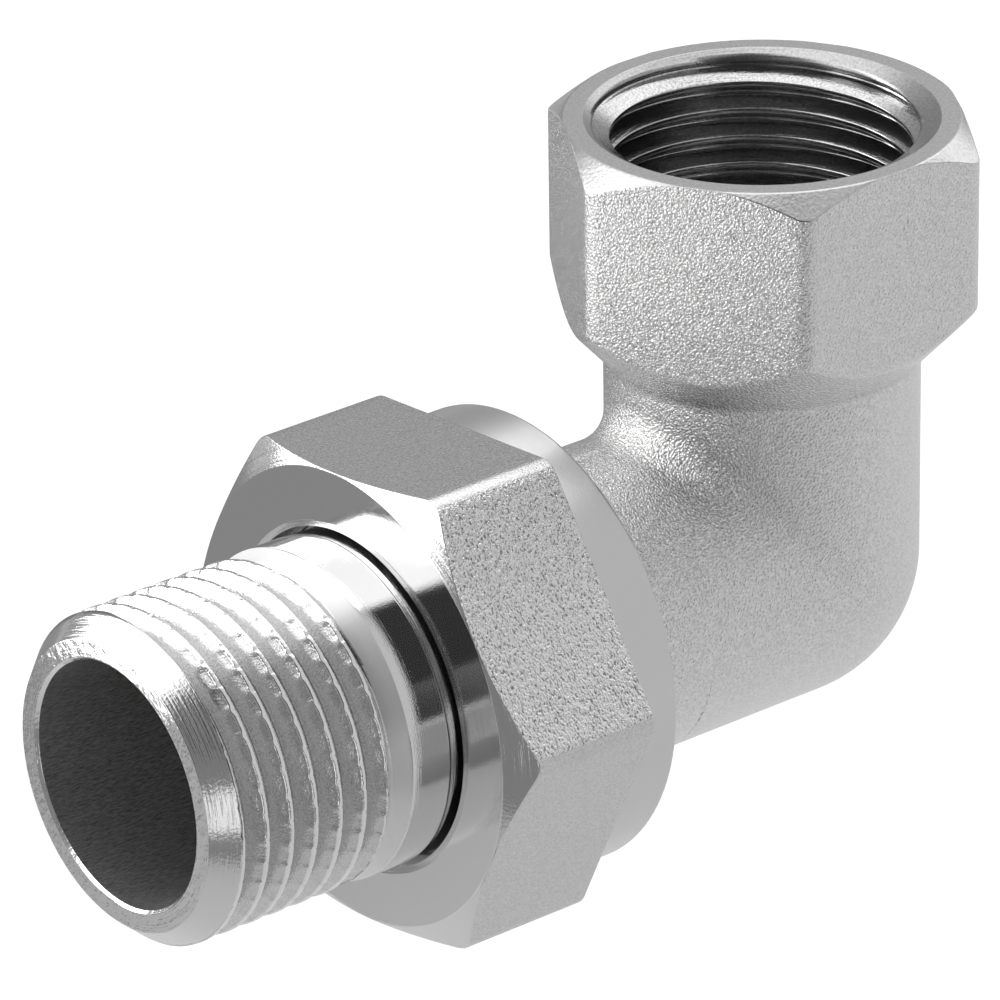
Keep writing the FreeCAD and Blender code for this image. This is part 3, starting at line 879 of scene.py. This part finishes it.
@dataclass
class UnionNut:
    """The hexagonal union nut with its round skirt.

    Attributes hold its sizes in millimetres from the elbow's centre, slopes as rise over run, and the
    heading and reach of the flat whose pits get painted shade, in degrees.
    """

    rear: float = 19.45
    hex_start: float = 22.95
    face: float = 33.0
    skirt: float = 14.56
    hexagon: Hexagon = Hexagon(29.2, 1.6, 4.4)
    face_radius: float = 14.55
    face_drop: float = 1.15
    hole: float = 10.76
    hole_break: float = 0.42
    hole_drop: float = 0.085
    lip_start: float = 30.4
    thread: Thread = Thread(12.06, True, 0.0, Finish.THREAD, Finish.CREST, Finish.TURNED)
    thread_columns: int = 240
    mouth_length: float = 1.2
    mouth_slope: float = 1.2
    mouth_gap: float = 0.1
    mouth_overlap: float = 0.2
    shaded_pits_heading: float = 30.0
    shaded_pits_reach: float = 29.0

    def mouth_limit(self, place: Array) -> Array:
        """Radius of the chamfer at the nut's rear mouth."""
        return self.thread.crest + THREAD_DEPTH + self.mouth_gap - (place - self.rear) * self.mouth_slope

    def build(self) -> Skin:
        """Build the nut.

        Returns:
            Its skin.
        """
        skin = Skin("union_nut_turned", "nut", "plated_brass", "union_nut")
        angles, hexagon = self.hexagon.columns(on_flat=26, on_corner=14)
        slope = self.face_drop / (float(hexagon.max()) - self.face_radius)
        edge = self.face - (hexagon - self.face_radius) * slope
        mouth = float(self.mouth_limit(self.rear))
        rows, ends = bend_rows([
            Station(self.rear + self.mouth_length, self.thread.crest - self.mouth_overlap),
            Station(self.rear, mouth, 0.05),
            Station(self.rear, self.skirt, 0.25, Finish.SKIRT, 1),
            Station(self.hex_start, self.skirt, 0.02),
            Station(self.hex_start, hexagon, 0.10, Finish.FLATS, 3),
            Station(edge, hexagon, 0.07),
            Station(self.face, self.face_radius, 0.06, Finish.POLISHED, 4),
            Station(self.face, self.hole + self.hole_break, 0.03),
            Station(self.face - self.hole_drop, self.hole, 0.03),
            Station(self.lip_start, self.hole, 0.05),
            Station(self.lip_start, mouth),
        ], len(angles))
        painted = np.array([[end] * len(angles) for end in ends], dtype=object)
        # Only this flat's pits get a dark tone, which is painted shade in them.
        shaded_pits = np.abs(np.degrees(angles) - self.hexagon.turned - self.shaded_pits_heading) < self.shaded_pits_reach
        painted[(painted == Finish.FLATS) & shaded_pits] = Finish.SHADED_PITS
        skin.add_grid(around_tail(rows, angles), painted)
        span = (self.rear, self.lip_start)
        self.thread.cut_in(skin, around_tail, span, self.thread_columns, self.mouth_limit)
        return skin


@dataclass
class Tailpiece:
    """The male tailpiece with its nose, flange, collar and thread.

    Attributes hold its sizes in millimetres from the elbow's centre, and slopes as rise over run.
    """

    nose_tip: float = 25.0
    nose_tip_radius: float = 9.15
    nose_foot_radius: float = 10.93
    groove_front: float = 25.86
    groove_rear: float = 27.54
    groove_floor: float = 8.5
    flange_start: float = 28.05
    flange_end: float = 30.25
    flange: float = 11.6
    neck: float = 10.4
    collar_start: float = 33.7
    collar_break: float = 0.12
    collar_end: float = 36.5
    collar: float = 10.49
    relief_start: float = 0.3
    relief_drop: float = 0.185
    relief_end: float = 37.7
    relief_floor: float = 9.75
    relief_slope: float = 0.617
    relief_rise: float = 1.1
    # The thread runs out at its rear in the relief groove's finish with painted sheen.
    thread: Thread = Thread(
        10.42, False, 0.0, Finish.THREAD, Finish.CREST, Finish.TURNED, Finish.RELIEF_SHEEN, 0.40,
        Grip(39.4, 0.07, 0.08, 0.10))
    land_start: float = 48.7
    land_slope: float = 2.4
    land_fall: float = 4.0
    end: float = 50.7
    end_seam: float = 0.03
    end_overlap: float = 0.02
    lead_radius: float = 9.1
    lead_slope: float = 0.88
    bore: float = 7.75
    bore_chamfer: float = 0.2
    bore_seam: float = 30.0
    columns: int = 288
    thread_columns: int = 480

    def limit(self, place: Array) -> Array:
        """Radius that the lead chamfer and the relief before the collar leave to the thread."""
        front = self.lead_radius + (self.end - place) * self.lead_slope
        down = self.collar - (place - self.collar_end) * self.relief_slope
        rise = self.relief_floor + (place - self.relief_end) * self.relief_rise
        return np.minimum(front, np.maximum(down, rise))

    def land(self, place: Array) -> Array:
        """Radius that the grooves rise to as they run out behind the lead chamfer and before the collar."""
        front = self.thread.crest - THREAD_DEPTH + (place - self.land_start) * self.land_slope
        slope = np.where(place < self.relief_end, self.relief_slope, self.land_fall)
        return np.maximum(front, self.relief_floor - (place - self.relief_end) * slope)

    def build(self) -> Skin:
        """Build the tailpiece.

        Returns:
            Its skin.
        """
        skin = Skin("tailpiece_turned", "tail", "plated_brass", "tailpiece")
        angles = even_angles(self.columns)
        slope = (self.nose_foot_radius - self.nose_tip_radius) / (self.flange_start - self.nose_tip)
        nose_front = self.nose_tip_radius + (self.groove_front - self.nose_tip) * slope
        nose_rear = self.nose_tip_radius + (self.groove_rear - self.nose_tip) * slope
        thread_start = self.collar_end + self.relief_start
        skin.add_turned(around_tail, angles, [
            Station(self.bore_seam, self.bore, 0.0, Finish.BORE),
            Station(self.nose_tip, self.bore, 0.05),
            Station(self.nose_tip, self.nose_tip_radius, 0.1),
            Station(self.groove_front, nose_front, 0.05),
            Station(self.groove_front, self.groove_floor, 0.05),
            Station(self.groove_rear, self.groove_floor, 0.05),
            Station(self.groove_rear, nose_rear, 0.05),
            Station(self.flange_start, self.nose_foot_radius, 0.05),
            Station(self.flange_start, self.flange, 0.1),
            Station(self.flange_end, self.flange, 0.1),
            Station(self.flange_end, self.neck, 0.1),
            Station(self.collar_start - self.collar_break, self.neck, 0.1),
            Station(self.collar_start, self.collar, 0.08, Finish.POLISHED, 1),
            # The relief groove before the thread takes the finish with painted sheen.
            Station(self.collar_end, self.collar, 0.12, Finish.RELIEF_SHEEN),
            Station(thread_start, self.collar - self.relief_drop, 0.0, Finish.RELIEF_SHEEN),
        ])
        span = (thread_start, self.end - self.end_overlap)
        self.thread.cut_in(skin, around_tail, span, self.thread_columns, self.limit, self.land)
        skin.add_turned(around_tail, angles, [
            Station(self.end - self.end_seam, self.lead_radius + self.end_overlap),
            Station(self.end, self.lead_radius, 0.03, Finish.ROUGH, 2),
            Station(self.end, self.bore + self.bore_chamfer, 0.03, Finish.ROUGH),
            Station(self.end - self.bore_chamfer, self.bore, 0.03, Finish.BORE),
            Station(self.bore_seam, self.bore, 0.0, Finish.BORE),
        ])
        return skin


@dataclass
class SealRing:
    """The rubber ring in the nose's groove.

    Attributes hold its sizes in millimetres from the elbow's centre.
    """

    place: float = 26.7
    ring: float = 9.34
    section: float = 0.8
    steps: int = 24
    columns: int = 144

    def build(self) -> Skin:
        """Build the ring.

        Returns:
            Its skin.
        """
        skin = Skin("seal_ring", "seal", "seal_rubber", "o_ring_seal")
        sweep = np.arange(self.steps + 1) / self.steps * FULL_TURN
        rows = np.zeros((self.steps + 1, self.columns, 2))
        rows[..., 0] = (self.place + self.section * np.cos(sweep))[:, None]
        rows[..., 1] = (self.ring + self.section * np.sin(sweep))[:, None]
        points = around_tail(rows, even_angles(self.columns))
        skin.add_grid(points, [Finish.RUBBER] * self.steps, flip=True)
        return skin


def arc(reach: float, start: float, end: float) -> tuple[tuple[float, float], ...]:
    """Lay points along an arc round the elbow's vertical axis.

    Args:
        reach: distance from the axis in millimetres.
        start: heading of the first point in degrees.
        end: heading of the last point in degrees.

    Returns:
        The points' places across the floor.
    """
    headings = np.radians(np.linspace(start, end, ARC_STEPS + 1)).tolist()
    return tuple((reach * math.cos(heading), reach * math.sin(heading)) for heading in headings)


def stand(
    name: str,
    points: Sequence[tuple[float, float, float]],
    faces: Sequence[tuple[int, ...]],
    material: bpy.types.Material,
) -> bpy.types.Object:
    """Stand something in the studio that is not part of the fitting.

    Args:
        name: its name.
        points: its corners in metres.
        faces: the numbers of each face's corners.
        material: its material.

    Returns:
        Its object.
    """
    mesh = bpy.data.meshes.new(name)
    mesh.from_pydata(points, [], faces)
    mesh.materials.append(material)
    thing = bpy.data.objects.new(name, mesh)
    bpy.context.scene.collection.objects.link(thing)
    thing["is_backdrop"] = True
    return thing


@dataclass(frozen=True)
class Screen:
    """An upright card that the metal mirrors and the camera doesn't see.

    Attributes:
        name: name of the card.
        path: points along its foot, across the floor, in millimetres.
        low: height of its lower edge in millimetres from the elbow's centre.
        high: height of its upper edge.
        level: brightness.
    """

    name: str
    path: tuple[tuple[float, float], ...]
    low: float
    high: float
    level: float

    def build(self) -> None:
        """Stand the card in the studio."""
        heights = [(level - CENTRE_BELOW_PORT) * MM for level in (self.low, self.high)]
        points = [(x * MM, y * MM, height) for height in heights for x, y in self.path]
        count = len(self.path)
        faces = [(step, step + 1, count + step + 1, count + step) for step in range(count - 1)]
        material = bpy.data.materials.new(self.name)
        graph = Graph(material)
        graph.show(graph.add("Emission", {"Color": grey(self.level)}).outputs["Emission"])
        stand(self.name, points, faces, material).visible_camera = False


@dataclass
class Studio:
    """A pale floor, soft lights, cards for the metal to mirror, and the camera.

    Attributes:
        azimuth: camera's heading about the vertical, in degrees.
        elevation: camera's height above the level, in degrees.
        roll: camera's roll in degrees.
        distance: camera to its aim in millimetres.
        aim: point that the camera looks at, in millimetres from the elbow's centre.
        focal: focal length in the photograph's pixels.
        floor_below: height of the floor in millimetres from the elbow's centre.
        floor_size: half the width of the floor in metres.
        floor_tone: tone of the floor as it lights the metal.
        floor_seen: tone of the floor as the camera sees it.
        floor_glow: brightness added to the floor that the camera sees.
        room: brightness of the room by the angle about the tail's axis, in degrees, zero level to the side.
        flag: brightness of the dark flag from the far end of the elbow, -1, to the tail's end, 1.
        flag_rise: how much the flag covers the room, by the same angle as the room.
        screens: cards that stand round the fitting.
    """

    azimuth: float = 140.905
    elevation: float = 25.339
    roll: float = -0.888
    distance: float = 483.757
    aim: tuple[float, float, float] = (21.068, 0.0, 9.439)
    focal: float = 7986.857
    floor_below: float = -90.0
    floor_size: float = 3.0
    floor_tone: float = 0.70
    floor_seen: float = 0.2
    floor_glow: float = 0.9
    room: tuple[tuple[float, float], ...] = (
        (-180.0, 0.36), (-20.0, 0.66), (82.0, 0.66), (87.0, 1.8), (128.0, 1.7), (142.0, 0.6), (156.0, 0.38),
        (168.0, 0.36), (180.0, 0.36))
    flag: tuple[tuple[float, float], ...] = (
        (-1.0, 0.66), (0.0, 0.66), (0.06, 0.05), (0.64, 0.05), (0.72, 0.3), (1.0, 0.3))
    flag_rise: tuple[tuple[float, float], ...] = (
        (-180.0, 0.0), (-1.0, 0.0), (1.0, 1.0), (82.0, 1.0), (84.0, 0.0), (180.0, 0.0))
    screens: tuple[Screen, ...] = (
        Screen("side_flag", arc(150.0, -14.0, 46.0), -88.0, 50.0, 0.26),
        Screen("level_card", arc(150.0, 46.0, 60.0), -88.0, -4.0, 0.45),
        Screen("lead_card", arc(147.0, 26.0, 43.0), -44.0, 4.0, 1.2),
        Screen("corner_flag", arc(150.0, 60.0, 84.0), -88.0, -4.0, 0.05),
        Screen("back_screen", ((210.0, -150.0), (-120.0, -150.0)), -89.0, -4.0, 0.31),
        Screen("front_glow", ((58.0, -1.0), (58.0, -24.0)), 2.0, 38.0, 4.0),
        Screen("crease_glow", ((125.0, -105.0), (75.0, -150.0)), 20.0, 190.0, 5.0),
    )

    def set_camera(self) -> None:
        """Place the camera."""
        camera = bpy.data.objects.new("camera", bpy.data.cameras.new("camera"))
        camera.data.lens = self.focal * camera.data.sensor_width / PICTURE
        camera.data.clip_start = 0.01
        camera.data.clip_end = 10.0
        aim = Vector(self.aim) - Vector((0.0, 0.0, CENTRE_BELOW_PORT))
        camera.matrix_world = Matrix.Translation(aim * MM)
        for angle, axis in ((self.azimuth, "Z"), (90.0 - self.elevation, "X"), (self.roll, "Z")):
            camera.matrix_world @= Matrix.Rotation(math.radians(angle), 4, axis)
        camera.matrix_world @= Matrix.Translation((0.0, 0.0, self.distance * MM))
        bpy.context.scene.collection.objects.link(camera)
        bpy.context.scene.camera = camera

    def set_floor(self) -> None:
        """Lay the pale floor, which looks white and keeps a soft shadow."""
        size = self.floor_size
        height = (self.floor_below - CENTRE_BELOW_PORT) * MM
        material = bpy.data.materials.new("studio_floor")
        graph = Graph(material)
        lighting = graph.add("BsdfDiffuse", {"Color": grey(self.floor_tone)}).outputs["BSDF"]
        faint = graph.add("BsdfDiffuse", {"Color": grey(self.floor_seen)}).outputs["BSDF"]
        glow = graph.add("Emission", {"Strength": self.floor_glow}).outputs["Emission"]
        white = graph.add("AddShader", {0: faint, 1: glow}).outputs["Shader"]
        graph.show(lighting, white)
        corners = [(-size, -size, height), (size, -size, height), (size, size, height), (-size, size, height)]
        stand("studio_floor", corners, [(0, 1, 2, 3)], material)

    def set_world(self) -> None:
        """Light the room all round, hang the dark flag in it, and show the camera plain white."""
        world = bpy.data.worlds.new("studio")
        bpy.context.scene.world = world
        graph = Graph(world, "OutputWorld")
        place = graph.add("TexCoord", {}).outputs["Generated"]
        split = graph.add("SeparateXYZ", {"Vector": place}).outputs
        turn = graph.add("Math", {0: split["Z"], 1: split["Y"]}, operation="ARCTAN2").outputs["Value"]
        around = graph.add("MapRange", {"Value": turn, "From Min": -math.pi, "From Max": math.pi})
        across = graph.add("MapRange", {"Value": split["X"], "From Min": -1.0})
        blend = graph.add("Mix", {
            "A": self.add_ramp(graph, around.outputs["Result"], self.room),
            "B": self.add_ramp(graph, across.outputs["Result"], self.flag),
            "Factor": self.add_ramp(graph, around.outputs["Result"], self.flag_rise),
        }, data_type="RGBA")
        room = graph.add("Background", {"Color": blend.outputs["Result"]}).outputs["Background"]
        white = graph.add("Background", {"Color": grey(1.0)}).outputs["Background"]
        graph.show(room, white)

    def add_ramp(
        self, graph: Graph, place: Socket, stops: Sequence[tuple[float, float]],
    ) -> Socket:
        """Add a ramp of greys.

        Args:
            graph: the world's nodes.
            place: socket with the place along the ramp, from 0 to 1.
            stops: places from one end to the other, even about zero, and the level at each.

        Returns:
            The socket with the level.
        """
        ramp = graph.add("ValToRGB", {"Fac": place})
        elements = ramp.color_ramp.elements
        while len(elements) < len(stops):
            elements.new(0.5)
        reach = stops[-1][0]
        for element, (spot, level) in zip(elements, stops):
            element.position = 0.5 + 0.5 * spot / reach
            element.color = grey(level)
        return ramp.outputs["Color"]

    def build(self) -> None:
        """Set up the whole studio."""
        self.set_camera()
        self.set_floor()
        for screen in self.screens:
            screen.build()
        self.set_world()
        bpy.context.scene.view_settings.view_transform = "Standard"


def save_sizes(name: str, sizes: dict[str, list[list[float]]]) -> None:
    """Note the box of what is shown.

    Args:
        name: what the box is of.
        sizes: the boxes noted so far.
    """
    low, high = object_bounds()
    sizes[name] = [[float(value) for value in low], [float(value) for value in high]]


def main() -> None:
    """Build the fitting and the studio."""
    logging.basicConfig(level=logging.INFO, format="%(name)s: %(message)s")
    sizes: dict[str, list[list[float]]] = {}
    save_sizes("cad", sizes)
    materials = {finish: finish.value.make() for finish in Finish}
    for part in (Elbow(), UnionNut(), Tailpiece(), SealRing()):
        part.build().finish(materials)
    Studio().build()
    save_sizes("visual", sizes)


if __name__ == "__main__":
    main()
